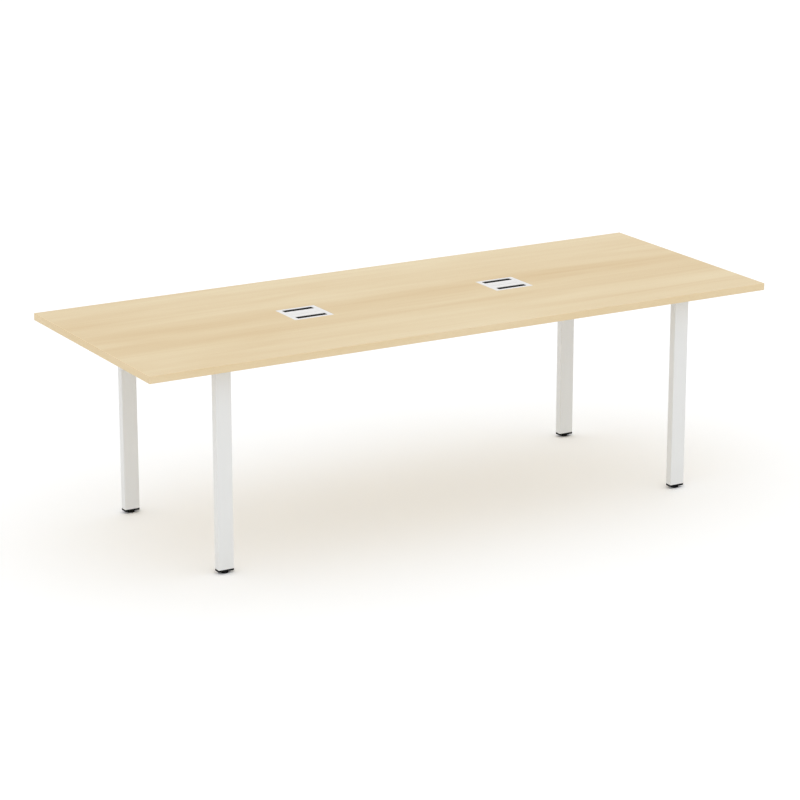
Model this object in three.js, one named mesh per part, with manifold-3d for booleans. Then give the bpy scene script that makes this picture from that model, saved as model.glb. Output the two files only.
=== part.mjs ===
// Conference table: a maple-look board on four upright steel legs, with two cable ports in the top.
// Millimetres, +Z up, X along the table and Y across it. The origin is on the floor, under the
// middle of the top, and the front long edge is on the -Y side.

import * as THREE from 'three';
import { mergeVertices } from 'three/addons/utils/BufferGeometryUtils.js';
import loadManifold from 'manifold-3d';

const wasm = await loadManifold();
wasm.setup();

// Whole table
const TABLE_LENGTH = 2400;
const TABLE_WIDTH = 910;
const TABLE_HEIGHT = 735;

// Board and its edge bands
const BOARD_THICKNESS = 25;
const BAND_THICKNESS = 2;
const BAND_ARRIS = 1;

// Legs: rectangular tube, with a flat plate on top that is screwed up into the board
const LEG_WIDTH = 56;
const LEG_DEPTH = 30;
const LEG_WALL = 1.5;
const LEG_CORNER = 2;
const LEG_INSET_FROM_END = 270;
const LEG_INSET_FROM_SIDE = 78;
const PLATE_THICKNESS = 4;
const PLATE_REACH = 75;
const PLATE_SCREW_RADIUS = 2.75;
const PLATE_SCREWS_FROM_LEG = [20, 60];

// Feet: a round pad on a stud that screws into the cap in the leg's end
const PAD_HEIGHT = 7.2;
const PAD_RADIUS = 13;
const PAD_CHAMFER = 1;
const PAD_RIM_TOP = 4.4;
const PAD_CROWN_RADIUS = 9.5;
const PAD_SOCKET_FLOOR = 3;
const STUD_RADIUS = 4;
const STUD_CLEARANCE = 0.2;
const STUD_TOP = 46;
const CAP_FLANGE = 7;
const CAP_PLUG_LENGTH = 25;
const CAP_PLUG_CLEARANCE = 0.3;

// Frame under the board: a square cross rail at each end and two long beams between the rails
const RAIL_SIZE = 30;
const BEAM_WIDTH = 25;
const BEAM_HEIGHT = 40;
const BEAM_FROM_MIDDLE = 200;
const FRAME_WALL = 1.5;
const FRAME_CORNER = 2.5;

// Angle brackets that join beams and rails, with one bolt in each leaf
const BRACKET_LEAF = 35;
const BRACKET_THICKNESS = 3;
const BRACKET_HEIGHT = 26;
const BOLT_FROM_CORNER = 20;
const BOLT_RADIUS = 3;
const BOLT_LENGTH = 12;
const BOLT_HEAD_RADIUS = 5.25;
const BOLT_HEAD_HEIGHT = 3.3;
const BOLT_HEAD_EDGE = 1.1;
const BOLT_CROWN_RADIUS = 3.4;
const BOLT_CLEARANCE = 0.3;

// Cable ports: a plate let in flush with the board, with a collar through it, a spine across its
// middle and a flap on each side of the spine, and a brush in the slot outside each flap
const PORT_SPACING = 800;
const PORT_PLATE_X = 150;
const PORT_PLATE_Y = 146;
const PORT_PLATE_CORNER = 3;
const PORT_PLATE_THICKNESS = 2;
const PORT_LIP_THICKNESS = 1;
const PORT_REBATE_PLAY = 0.25;
const PORT_OPENING_X = 114;
const PORT_OPENING_Y = 120;
const PORT_SLOT_WIDTH = 24;
const COLLAR_WALL_X = 4;
const COLLAR_WALL_Y = 2;
const COLLAR_DEPTH = 41;
const CUTOUT_CLEARANCE = 0.5;
const SPINE_WIDTH = 8;
const SPINE_DEPTH = 10;
const FLAP_THICKNESS = 3;
const FLAP_SIDE_GAP = 0.5;
const BARREL_RADIUS = 3.5;
const BARREL_GAP = 0.6;
const PIN_RADIUS = 1.25;
const PIN_CLEARANCE = 0.15;
const PIN_BLIND_DEPTH = 3;
const STOP_LENGTH = 8;
const STOP_REACH = 3;
const STOP_HEIGHT = 4;
const STOP_FROM_EDGE = 1;

// Brush strips: a backing bar held under the plate's lip, and bristles that fill the slot
const BRUSH_POCKET = 5;
const BRUSH_BACKING_DEPTH = 4.2;
const BRUSH_BACKING_HEIGHT = 3;
const BRUSH_LEDGE_HEIGHT = 3;
const BRUSH_LEDGE_SETBACK = 1;
const BRUSH_TOP_PLAY = 0.2;
const BRISTLE_COUNT = 80;
const BRISTLE_WIDTH = 0.9;
const BRISTLE_TIP_GAP = 0.6;

// Clamps that hold each port down: steel angles under the board, against the collar
const CLAMP_LENGTH = 60;
const CLAMP_FOOT = 20;
const CLAMP_DROP = 14;
const CLAMP_THICKNESS = 2;

// Small play between pieces that are not fastened face to face
const PLAY = 0.3;
// Length that joined solids share, so that they become one body
const OVERLAP = 0.5;

// Facets round small turned pieces
const ROUND_SIDES = 24;
const SMALL_ROUND_SIDES = 16;

// Worked-out sizes
const BOARD_UNDERSIDE = TABLE_HEIGHT - BOARD_THICKNESS;
const LEG_X = TABLE_LENGTH / 2 - LEG_INSET_FROM_END - LEG_WIDTH / 2;
const LEG_Y = TABLE_WIDTH / 2 - LEG_INSET_FROM_SIDE - LEG_DEPTH / 2;
const CAP_BOTTOM = PAD_HEIGHT + PLAY;
const LEG_BOTTOM = CAP_BOTTOM + CAP_FLANGE;
const LEG_TOP = BOARD_UNDERSIDE - PLATE_THICKNESS;
const RAIL_INNER_FACE = LEG_X - RAIL_SIZE / 2;
const BEAM_INNER_FACE = BEAM_FROM_MIDDLE - BEAM_WIDTH / 2;
const BRACKET_Z = BOARD_UNDERSIDE - RAIL_SIZE / 2;
const COLLAR_X = PORT_OPENING_X + 2 * COLLAR_WALL_X;
const POCKET_Y = PORT_OPENING_Y + 2 * BRUSH_POCKET;
const COLLAR_Y = POCKET_Y + 2 * COLLAR_WALL_Y;
const HINGE_Y = SPINE_WIDTH / 2 + BARREL_GAP + BARREL_RADIUS;
const HINGE_Z = -BARREL_RADIUS;
const FLAP_EDGE_Y = PORT_OPENING_Y / 2 - PORT_SLOT_WIDTH;
const BRUSH_TOP = -PORT_LIP_THICKNESS - BRUSH_TOP_PLAY;

// Turns that carry a shape drawn in XY and raised along Z so that it runs along X or along Y
const RUN_ALONG_X = new THREE.Matrix4().makeBasis(
  new THREE.Vector3(0, 1, 0), new THREE.Vector3(0, 0, 1), new THREE.Vector3(1, 0, 0));
const RUN_ALONG_Y = new THREE.Matrix4().makeBasis(
  new THREE.Vector3(0, 0, 1), new THREE.Vector3(1, 0, 0), new THREE.Vector3(0, 1, 0));
// Turn that stands a shape spun about Y upright on Z
const SPIN_UPRIGHT = new THREE.Matrix4().makeBasis(
  new THREE.Vector3(1, 0, 0), new THREE.Vector3(0, 0, 1), new THREE.Vector3(0, -1, 0));

// Finishes: colour, roughness, metalness
const FINISHES = {
  maple: [0xe4d1ae, 0.45, 0],
  whitePaint: [0xe8e7e4, 0.5, 0],
  whitePlastic: [0xe9e9ec, 0.4, 0],
  blackPlastic: [0x1c1c1e, 0.55, 0],
  bristle: [0x161617, 0.7, 0],
  zinc: [0xb8bbbe, 0.35, 1],
};

function named(name, geometry, finish) {
  const [color, roughness, metalness] = FINISHES[finish];
  const mesh = new THREE.Mesh(geometry, new THREE.MeshStandardMaterial({ color, roughness, metalness }));
  mesh.name = name;
  return mesh;
}

// Solids for joining and cutting

function solidOf(geometry) {
  const bare = geometry.clone();
  bare.deleteAttribute('normal');
  bare.deleteAttribute('uv');
  const merged = mergeVertices(bare);
  return new wasm.Manifold(new wasm.Mesh({
    numProp: 3,
    vertProperties: Float32Array.from(merged.attributes.position.array),
    triVerts: Uint32Array.from(merged.index.array),
  }));
}

function geometryOf(solid) {
  const mesh = solid.getMesh();
  const geometry = new THREE.BufferGeometry();
  geometry.setAttribute('position', new THREE.BufferAttribute(Float32Array.from(mesh.vertProperties), 3));
  geometry.setIndex(new THREE.BufferAttribute(Uint32Array.from(mesh.triVerts), 1));
  geometry.computeVertexNormals();
  return geometry;
}

function joined(...geometries) {
  return geometryOf(geometries.map(solidOf).reduce((whole, next) => whole.add(next)));
}

function cut(geometry, ...tools) {
  return geometryOf(tools.map(solidOf).reduce((whole, tool) => whole.subtract(tool), solidOf(geometry)));
}

// Shapes and simple bodies

function rectangle(width, depth, centre = 0, path = new THREE.Shape()) {
  path.moveTo(centre - width / 2, -depth / 2);
  path.lineTo(centre + width / 2, -depth / 2);
  path.lineTo(centre + width / 2, depth / 2);
  path.lineTo(centre - width / 2, depth / 2);
  path.closePath();
  return path;
}

function roundedRectangle(width, depth, radius, path = new THREE.Shape()) {
  const x = width / 2 - radius;
  const y = depth / 2 - radius;
  path.absarc(x, y, radius, 0, Math.PI / 2, false);
  path.absarc(-x, y, radius, Math.PI / 2, Math.PI, false);
  path.absarc(-x, -y, radius, Math.PI, 1.5 * Math.PI, false);
  path.absarc(x, -y, radius, 1.5 * Math.PI, 2 * Math.PI, false);
  path.closePath();
  return path;
}

function tubeSection(width, depth, corner, wall) {
  const section = roundedRectangle(width, depth, corner);
  section.holes.push(roundedRectangle(width - 2 * wall, depth - 2 * wall, corner - wall, new THREE.Path()));
  return section;
}

function polygon(points) {
  return new THREE.Shape(points.map(([x, y]) => new THREE.Vector2(x, y)));
}

function raised(shape, low, high, curveSegments = 2) {
  const body = new THREE.ExtrudeGeometry(shape, { depth: high - low, bevelEnabled: false, curveSegments });
  return body.translate(0, 0, low);
}

function block(xLow, xHigh, yLow, yHigh, zLow, zHigh) {
  const body = new THREE.BoxGeometry(xHigh - xLow, yHigh - yLow, zHigh - zLow);
  return body.translate((xLow + xHigh) / 2, (yLow + yHigh) / 2, (zLow + zHigh) / 2);
}

function spun(profile, sides) {
  const points = profile.map(([radius, height]) => new THREE.Vector2(radius, height));
  return new THREE.LatheGeometry(points, sides).applyMatrix4(SPIN_UPRIGHT);
}

function rod(radius, low, high, sides = SMALL_ROUND_SIDES) {
  return spun([[0, low], [radius, low], [radius, high], [0, high]], sides);
}

function rodAlongX(radius, low, high, y, z) {
  return rod(radius, low, high).applyMatrix4(RUN_ALONG_X).translate(0, y, z);
}

function rodAlongY(radius, low, high, x, z) {
  return rod(radius, low, high).applyMatrix4(RUN_ALONG_Y).translate(x, 0, z);
}

// A piece, or a group of pieces, set at a place and turned about the vertical
function placed(object, x, y, z, turn = 0) {
  object.position.set(x, y, z);
  object.rotation.z = turn;
  return object;
}

// Board, with a cut-out for each port's collar and a shallow rebate for its plate

function portCutout() {
  const x = COLLAR_X / 2 + CUTOUT_CLEARANCE;
  const y = COLLAR_Y / 2 + CUTOUT_CLEARANCE;
  const rebateX = PORT_PLATE_X + 2 * PORT_REBATE_PLAY;
  const rebateY = PORT_PLATE_Y + 2 * PORT_REBATE_PLAY;
  const rebate = roundedRectangle(rebateX, rebateY, PORT_PLATE_CORNER + PORT_REBATE_PLAY);
  return joined(
    block(-x, x, -y, y, BOARD_UNDERSIDE - OVERLAP, TABLE_HEIGHT),
    raised(rebate, TABLE_HEIGHT - PORT_PLATE_THICKNESS, TABLE_HEIGHT + OVERLAP),
  );
}

function board() {
  const x = TABLE_LENGTH / 2 - BAND_THICKNESS;
  const y = TABLE_WIDTH / 2 - BAND_THICKNESS;
  return cut(
    block(-x, x, -y, y, BOARD_UNDERSIDE, TABLE_HEIGHT),
    portCutout().translate(-PORT_SPACING / 2, 0, 0),
    portCutout().translate(PORT_SPACING / 2, 0, 0),
  );
}

// Edge band along X, with its inner face on y = 0 and its rounded outer face towards -y
function edgeBand(length) {
  const half = BOARD_THICKNESS / 2;
  const arcCentre = BAND_ARRIS - BAND_THICKNESS;
  const section = new THREE.Shape();
  section.moveTo(0, -half);
  section.lineTo(0, half);
  section.absarc(arcCentre, half - BAND_ARRIS, BAND_ARRIS, Math.PI / 2, Math.PI, false);
  section.absarc(arcCentre, BAND_ARRIS - half, BAND_ARRIS, Math.PI, 1.5 * Math.PI, false);
  section.closePath();
  return raised(section, -length / 2, length / 2).applyMatrix4(RUN_ALONG_X);
}

function top() {
  const group = new THREE.Group();
  const sideBandLength = TABLE_WIDTH - 2 * BAND_THICKNESS;
  const bandX = TABLE_LENGTH / 2 - BAND_THICKNESS;
  const bandY = TABLE_WIDTH / 2 - BAND_THICKNESS;
  const bandZ = BOARD_UNDERSIDE + BOARD_THICKNESS / 2;
  const front = named('edge_band_front', edgeBand(TABLE_LENGTH), 'maple');
  const rear = named('edge_band_rear', edgeBand(TABLE_LENGTH), 'maple');
  const left = named('edge_band_left', edgeBand(sideBandLength), 'maple');
  const right = named('edge_band_right', edgeBand(sideBandLength), 'maple');
  group.add(
    named('table_top', board(), 'maple'),
    placed(front, 0, -bandY, bandZ),
    placed(rear, 0, bandY, bandZ, Math.PI),
    placed(left, -bandX, 0, bandZ, -Math.PI / 2),
    placed(right, bandX, 0, bandZ, Math.PI / 2),
  );
  return group;
}

// Leg with its plate, cap and foot, with the plate reaching towards +X

function legPlate() {
  const low = -LEG_WIDTH / 2;
  const high = LEG_WIDTH / 2 + PLATE_REACH;
  const outline = rectangle(high - low, LEG_DEPTH, (low + high) / 2);
  for (const distance of PLATE_SCREWS_FROM_LEG) {
    const hole = new THREE.Path();
    hole.absarc(LEG_WIDTH / 2 + distance, 0, PLATE_SCREW_RADIUS, 0, 2 * Math.PI, true);
    outline.holes.push(hole);
  }
  return raised(outline, LEG_TOP, BOARD_UNDERSIDE, SMALL_ROUND_SIDES / 2);
}

function legCap() {
  const inset = 2 * (LEG_WALL + CAP_PLUG_CLEARANCE);
  const flange = roundedRectangle(LEG_WIDTH, LEG_DEPTH, LEG_CORNER);
  const plug = roundedRectangle(LEG_WIDTH - inset, LEG_DEPTH - inset, LEG_CORNER - LEG_WALL);
  const plugTop = LEG_BOTTOM + CAP_PLUG_LENGTH;
  return cut(
    joined(raised(flange, CAP_BOTTOM, LEG_BOTTOM), raised(plug, LEG_BOTTOM - OVERLAP, plugTop)),
    rod(STUD_RADIUS + STUD_CLEARANCE, CAP_BOTTOM - OVERLAP, plugTop + OVERLAP),
  );
}

function footPad() {
  const socket = STUD_RADIUS + STUD_CLEARANCE;
  return spun([
    [0, 0], [PAD_RADIUS - PAD_CHAMFER, 0], [PAD_RADIUS, PAD_CHAMFER], [PAD_RADIUS, PAD_RIM_TOP],
    [PAD_CROWN_RADIUS, PAD_HEIGHT], [socket, PAD_HEIGHT], [socket, PAD_SOCKET_FLOOR], [0, PAD_SOCKET_FLOOR],
  ], ROUND_SIDES);
}

function leg(corner) {
  const group = new THREE.Group();
  const section = tubeSection(LEG_WIDTH, LEG_DEPTH, LEG_CORNER, LEG_WALL);
  group.add(
    named(`leg_${corner}`, raised(section, LEG_BOTTOM, LEG_TOP), 'whitePaint'),
    named(`leg_plate_${corner}`, legPlate(), 'whitePaint'),
    named(`leg_cap_${corner}`, legCap(), 'blackPlastic'),
    named(`foot_stud_${corner}`, rod(STUD_RADIUS, PAD_SOCKET_FLOOR + PLAY, STUD_TOP), 'zinc'),
    named(`foot_pad_${corner}`, footPad(), 'blackPlastic'),
  );
  return group;
}

// Cross rail along Y, with its bolt holes in the face towards +X
function crossRail() {
  const half = LEG_Y - LEG_DEPTH / 2;
  const section = tubeSection(RAIL_SIZE, RAIL_SIZE, FRAME_CORNER, FRAME_WALL);
  const tube = raised(section, -half, half).applyMatrix4(RUN_ALONG_Y);
  const holeY = BEAM_INNER_FACE - BOLT_FROM_CORNER;
  const holeRadius = BOLT_RADIUS + BOLT_CLEARANCE;
  const holes = [-holeY, holeY].map((y) => rodAlongX(holeRadius, 0, RAIL_SIZE, y, 0));
  return cut(tube, ...holes);
}

// Long beam along X, with its bolt holes in the face towards +Y
function longBeam() {
  const section = tubeSection(BEAM_WIDTH, BEAM_HEIGHT, FRAME_CORNER, FRAME_WALL);
  const tube = raised(section, -RAIL_INNER_FACE, RAIL_INNER_FACE).applyMatrix4(RUN_ALONG_X);
  const holeX = RAIL_INNER_FACE - BOLT_FROM_CORNER;
  const holeZ = (BEAM_HEIGHT - RAIL_SIZE) / 2;
  const holeRadius = BOLT_RADIUS + BOLT_CLEARANCE;
  const holes = [-holeX, holeX].map((x) => rodAlongY(holeRadius, 0, BEAM_WIDTH, x, holeZ));
  return cut(tube, ...holes);
}

// Angle bracket with its outer faces on x = 0 and y = 0, and its leaves along +X and +Y
function beamBracket() {
  const outline = polygon([
    [0, 0], [BRACKET_LEAF, 0], [BRACKET_LEAF, BRACKET_THICKNESS],
    [BRACKET_THICKNESS, BRACKET_THICKNESS], [BRACKET_THICKNESS, BRACKET_LEAF], [0, BRACKET_LEAF],
  ]);
  const holeRadius = BOLT_RADIUS + BOLT_CLEARANCE;
  return cut(
    raised(outline, -BRACKET_HEIGHT / 2, BRACKET_HEIGHT / 2),
    rodAlongX(holeRadius, -BRACKET_THICKNESS, 2 * BRACKET_THICKNESS, BOLT_FROM_CORNER, 0),
    rodAlongY(holeRadius, -BRACKET_THICKNESS, 2 * BRACKET_THICKNESS, BOLT_FROM_CORNER, 0),
  );
}

// Button-head bolt along Z, with the underside of its head on z = 0
function bolt() {
  return spun([
    [0, -BOLT_LENGTH], [BOLT_RADIUS, -BOLT_LENGTH], [BOLT_RADIUS, 0], [BOLT_HEAD_RADIUS, 0],
    [BOLT_HEAD_RADIUS, BOLT_HEAD_EDGE], [BOLT_CROWN_RADIUS, BOLT_HEAD_HEIGHT], [0, BOLT_HEAD_HEIGHT],
  ], SMALL_ROUND_SIDES);
}

// Bracket with its two bolts: one through the leaf on x = 0 and one through the leaf on y = 0
function boltedBracket(corner, boltThroughX, boltThroughY) {
  const group = new THREE.Group();
  const alongX = named(`${boltThroughX}_bolt_${corner}`, bolt().applyMatrix4(RUN_ALONG_X), 'zinc');
  const alongY = named(`${boltThroughY}_bolt_${corner}`, bolt().applyMatrix4(RUN_ALONG_Y), 'zinc');
  group.add(
    named(`beam_bracket_${corner}`, beamBracket(), 'whitePaint'),
    placed(alongX, BRACKET_THICKNESS, BOLT_FROM_CORNER, 0),
    placed(alongY, BOLT_FROM_CORNER, BRACKET_THICKNESS, 0),
  );
  return group;
}

// Cable port, with its zero height on the board's upper face

function bezel() {
  const lip = roundedRectangle(PORT_PLATE_X, PORT_PLATE_Y, PORT_PLATE_CORNER);
  lip.holes.push(rectangle(PORT_OPENING_X, PORT_OPENING_Y, 0, new THREE.Path()));
  const plate = roundedRectangle(PORT_PLATE_X, PORT_PLATE_Y, PORT_PLATE_CORNER);
  plate.holes.push(rectangle(PORT_OPENING_X, POCKET_Y, 0, new THREE.Path()));
  const collar = rectangle(COLLAR_X, COLLAR_Y);
  collar.holes.push(rectangle(PORT_OPENING_X, POCKET_Y, 0, new THREE.Path()));
  const sideX = PORT_OPENING_X / 2 + OVERLAP;
  const spineY = SPINE_WIDTH / 2;
  const bodies = [
    raised(lip, -PORT_LIP_THICKNESS, 0),
    raised(plate, -PORT_PLATE_THICKNESS, OVERLAP - PORT_LIP_THICKNESS),
    raised(collar, -COLLAR_DEPTH, OVERLAP - PORT_PLATE_THICKNESS),
    block(-sideX, sideX, -spineY, spineY, -SPINE_DEPTH, 0),
  ];
  const ledgeHigh = BRUSH_TOP - BRUSH_BACKING_HEIGHT - PLAY;
  const ledgeInner = PORT_OPENING_Y / 2 + BRUSH_LEDGE_SETBACK;
  const ledgeOuter = POCKET_Y / 2 + OVERLAP;
  const stopHigh = -FLAP_THICKNESS - PLAY;
  const stopOuter = FLAP_EDGE_Y - STOP_FROM_EDGE;
  const stopBack = stopOuter - STOP_LENGTH;
  const stopInner = PORT_OPENING_X / 2 - STOP_REACH;
  for (const [yLow, yHigh] of [[-ledgeOuter, -ledgeInner], [ledgeInner, ledgeOuter]]) {
    bodies.push(block(-sideX, sideX, yLow, yHigh, ledgeHigh - BRUSH_LEDGE_HEIGHT, ledgeHigh));
  }
  for (const [xLow, xHigh] of [[-sideX, -stopInner], [stopInner, sideX]]) {
    for (const [yLow, yHigh] of [[-stopOuter, -stopBack], [stopBack, stopOuter]]) {
      bodies.push(block(xLow, xHigh, yLow, yHigh, stopHigh - STOP_HEIGHT, stopHigh));
    }
  }
  const holeRadius = PIN_RADIUS + PIN_CLEARANCE;
  const blindEnd = -PORT_OPENING_X / 2 - PIN_BLIND_DEPTH;
  const openEnd = COLLAR_X / 2 + OVERLAP;
  const holes = [-HINGE_Y, HINGE_Y].map((y) => rodAlongX(holeRadius, blindEnd, openEnd, y, HINGE_Z));
  return cut(joined(...bodies), ...holes);
}

// Flap along X, with its hinge axis on y = 0 and z = 0 and its free edge towards +y
function flap() {
  const reach = FLAP_EDGE_Y - HINGE_Y;
  const underside = BARREL_RADIUS - FLAP_THICKNESS;
  const width = PORT_OPENING_X - 2 * FLAP_SIDE_GAP;
  const outline = new THREE.Shape();
  outline.moveTo(reach, underside);
  outline.lineTo(reach, BARREL_RADIUS);
  outline.lineTo(0, BARREL_RADIUS);
  const arcEnd = 2 * Math.PI + Math.asin(underside / BARREL_RADIUS);
  outline.absarc(0, 0, BARREL_RADIUS, Math.PI / 2, arcEnd, false);
  outline.closePath();
  const bore = new THREE.Path();
  bore.absarc(0, 0, PIN_RADIUS + PIN_CLEARANCE, 0, 2 * Math.PI, true);
  outline.holes.push(bore);
  return raised(outline, -width / 2, width / 2, SMALL_ROUND_SIDES / 2).applyMatrix4(RUN_ALONG_X);
}

function hingePin() {
  const low = -PORT_OPENING_X / 2 - PIN_BLIND_DEPTH + PLAY;
  const high = COLLAR_X / 2 - PLAY;
  return rodAlongX(PIN_RADIUS, low, high, 0, 0);
}

// Brush strip on the +Y side of the port: a comb of bristles on a thicker backing bar
function brush() {
  const width = PORT_OPENING_X - 2 * PLAY;
  const root = PORT_OPENING_Y / 2 + PLAY;
  const tip = FLAP_EDGE_Y + BRISTLE_TIP_GAP;
  const back = root + BRUSH_BACKING_DEPTH;
  const pitch = width / BRISTLE_COUNT;
  const outline = [[width / 2, back], [-width / 2, back]];
  for (let index = 0; index < BRISTLE_COUNT; index += 1) {
    const start = -width / 2 + index * pitch + (pitch - BRISTLE_WIDTH) / 2;
    const end = start + BRISTLE_WIDTH;
    outline.push([start, root], [start, tip], [end, tip], [end, root]);
  }
  const comb = raised(polygon(outline), BRUSH_TOP - BRISTLE_WIDTH, BRUSH_TOP);
  const backing = block(-width / 2, width / 2, root, back, BRUSH_TOP - BRUSH_BACKING_HEIGHT, BRUSH_TOP);
  return joined(comb, backing);
}

// Clamp on the +X side of the port, with its foot against the board's underside
function clamp() {
  const inner = COLLAR_X / 2;
  const high = -BOARD_THICKNESS;
  const section = polygon([
    [high - CLAMP_DROP, inner], [high - CLAMP_DROP, inner + CLAMP_THICKNESS],
    [high - CLAMP_THICKNESS, inner + CLAMP_THICKNESS], [high - CLAMP_THICKNESS, inner + CLAMP_FOOT],
    [high, inner + CLAMP_FOOT], [high, inner],
  ]);
  return raised(section, -CLAMP_LENGTH / 2, CLAMP_LENGTH / 2).applyMatrix4(RUN_ALONG_Y);
}

function port(name) {
  const group = new THREE.Group();
  group.add(named(`${name}_bezel`, bezel(), 'whitePlastic'));
  for (const [side, sign, turn] of [['front', -1, Math.PI], ['rear', 1, 0]]) {
    const hingeY = sign * HINGE_Y;
    group.add(
      placed(named(`${name}_flap_${side}`, flap(), 'whitePlastic'), 0, hingeY, HINGE_Z, turn),
      placed(named(`${name}_hinge_pin_${side}`, hingePin(), 'zinc'), 0, hingeY, HINGE_Z),
      placed(named(`${name}_brush_${side}`, brush(), 'bristle'), 0, 0, 0, turn),
    );
  }
  for (const [side, turn] of [['left', Math.PI], ['right', 0]]) {
    group.add(placed(named(`${name}_clamp_${side}`, clamp(), 'zinc'), 0, 0, 0, turn));
  }
  return group;
}

// The whole table

const table = new THREE.Group();
table.add(top());
for (const [end, endSign, endTurn] of [['left', -1, 0], ['right', 1, Math.PI]]) {
  for (const [side, sideSign] of [['front', -1], ['rear', 1]]) {
    table.add(placed(leg(`${side}_${end}`), endSign * LEG_X, sideSign * LEG_Y, 0, endTurn));
  }
  const rail = named(`cross_rail_${end}`, crossRail(), 'whitePaint');
  table.add(placed(rail, endSign * LEG_X, 0, BOARD_UNDERSIDE - RAIL_SIZE / 2, endTurn));
  table.add(placed(port(`port_${end}`), endSign * PORT_SPACING / 2, 0, TABLE_HEIGHT));
}
for (const [side, sideSign, sideTurn] of [['front', -1, 0], ['rear', 1, Math.PI]]) {
  const beam = named(`long_beam_${side}`, longBeam(), 'whitePaint');
  table.add(placed(beam, 0, sideSign * BEAM_FROM_MIDDLE, BOARD_UNDERSIDE - BEAM_HEIGHT / 2, sideTurn));
}
const BRACKET_CORNERS = [
  ['front_left', -1, -1, 'rail', 'beam'], ['front_right', 1, -1, 'beam', 'rail'],
  ['rear_right', 1, 1, 'rail', 'beam'], ['rear_left', -1, 1, 'beam', 'rail'],
];
BRACKET_CORNERS.forEach(([corner, endSign, sideSign, boltThroughX, boltThroughY], quarterTurns) => {
  const bracket = boltedBracket(corner, boltThroughX, boltThroughY);
  const turn = quarterTurns * Math.PI / 2;
  table.add(placed(bracket, endSign * RAIL_INNER_FACE, sideSign * BEAM_INNER_FACE, BRACKET_Z, turn));
});

export default table;
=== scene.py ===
"""Conference table: the looks of its maple board, white steel frame, cable ports and levelling feet.

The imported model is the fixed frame. Surfaces are worked out in millimetres as rings of points, and each
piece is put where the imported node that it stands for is.
"""

import math

import bpy
import numpy as np
from bpy.props import FloatProperty, FloatVectorProperty, IntProperty, PointerProperty
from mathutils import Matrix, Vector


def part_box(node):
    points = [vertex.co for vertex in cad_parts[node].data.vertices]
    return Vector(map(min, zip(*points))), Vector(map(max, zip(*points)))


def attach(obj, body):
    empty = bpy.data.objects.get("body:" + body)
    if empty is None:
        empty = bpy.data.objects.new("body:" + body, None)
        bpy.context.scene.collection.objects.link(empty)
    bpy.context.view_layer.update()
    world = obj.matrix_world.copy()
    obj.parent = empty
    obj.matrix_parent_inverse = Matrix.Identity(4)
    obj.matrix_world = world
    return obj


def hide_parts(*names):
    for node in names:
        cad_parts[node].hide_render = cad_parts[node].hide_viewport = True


bl_info = {
    "name": "Conference table",
    "version": (1, 0, 0),
    "blender": (4, 5, 0),
    "location": "View3D > Sidebar > Table",
    "description": "Surfaces and finishes of a maple conference table with cable ports",
    "category": "Object",
}

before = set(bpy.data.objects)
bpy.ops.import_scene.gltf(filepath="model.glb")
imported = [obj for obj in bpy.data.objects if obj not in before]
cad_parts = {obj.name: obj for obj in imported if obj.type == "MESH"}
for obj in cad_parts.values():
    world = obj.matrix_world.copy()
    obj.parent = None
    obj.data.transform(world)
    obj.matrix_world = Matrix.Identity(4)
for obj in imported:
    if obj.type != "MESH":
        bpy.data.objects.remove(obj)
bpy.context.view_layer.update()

# Units and directions
MM = 0.001
X, Y, Z = np.eye(3)
QUARTER = math.pi / 2
FULL_TURN = 2 * math.pi

# Names of like pieces, with the way each corner lies from the middle
CORNERS = {"front_left": (-1, -1), "rear_left": (-1, 1), "front_right": (1, -1), "rear_right": (1, 1)}
OUTWARD = {"front": -Y, "rear": Y, "left": -X, "right": X}

# Fineness of the surfaces
CORNER_STEPS = 6
ARC_STEPS = 5
SHARP_ANGLE = math.radians(32)
EASE_SEGMENTS = 2

# Sockets of the mix node when it mixes colours
MIX_FACTOR, MIX_FIRST, MIX_SECOND, MIX_RESULT = 0, 6, 7, 2


# Colours and finishes


def linear(code):
    """A hex colour in linear light: each channel c becomes c / 12.92 near black, and otherwise
    ((c + 0.055) / 1.055) to the power 2.4."""
    srgb = np.array([int(code[place:place + 2], 16) for place in (1, 3, 5)]) / 255
    light = np.where(srgb <= 0.04045, srgb / 12.92, ((srgb + 0.055) / 1.055) ** 2.4)
    return (*light.tolist(), 1.0)


def add_node(tree, kind, inputs=None, **settings):
    """Adds a node, sets its own settings, and links each input that is a socket or sets its value."""
    node = tree.nodes.new(kind)
    for name, value in settings.items():
        setattr(node, name, value)
    for name, value in (inputs or {}).items():
        if isinstance(value, bpy.types.NodeSocket):
            tree.links.new(value, node.inputs[name])
        else:
            node.inputs[name].default_value = value
    return node


def begin_finish(name):
    """The material of that name, new or made afresh, and its empty tree."""
    finish = bpy.data.materials.get(name) or bpy.data.materials.new(name)
    finish.use_nodes = True
    finish.node_tree.nodes.clear()
    return finish, finish.node_tree


# Maple figure: the noises that make it, each with its size along and across the grain in millimetres, its
# detail, and where on the endless print the board begins, counted in blots. Those after the bend lie on bent
# grain. Real fibres are about 0.1 mm across and pores about 0.2 mm; both are drawn coarser so that they show.
MAPLE_NOISES = {
    "hill": (1700, 230, 2.0, 0.0),
    "bend": (1500, 420, 1.0, 0.0),
    "broad band": (2800, 170, 1.0, 472.9),
    "narrow band": (1500, 52, 2.0, 674.9),
    "cloud": (900, 120, 1.0, 1781.5),
    "streak": (480, 9, 2.0, 0.0),
    "thread": (110, 1.8, 1.0, 0.0),
    "fibre": (45, 0.6, 1.0, 0.0),
    "pore": (11, 0.5, 1.0, 0.0),
}
# Share of each noise in the tone, and the smaller one of the flame lines
MAPLE_SHARES = {
    "broad band": 1.15, "narrow band": 0.6, "cloud": 0.55, "streak": 0.3, "thread": 0.32, "fibre": 0.3,
}
MAPLE_FLAME_SHARE = 0.07
# Flame lines are level lines of the hill: this many lie in its range
MAPLE_FLAMES = 8
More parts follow.
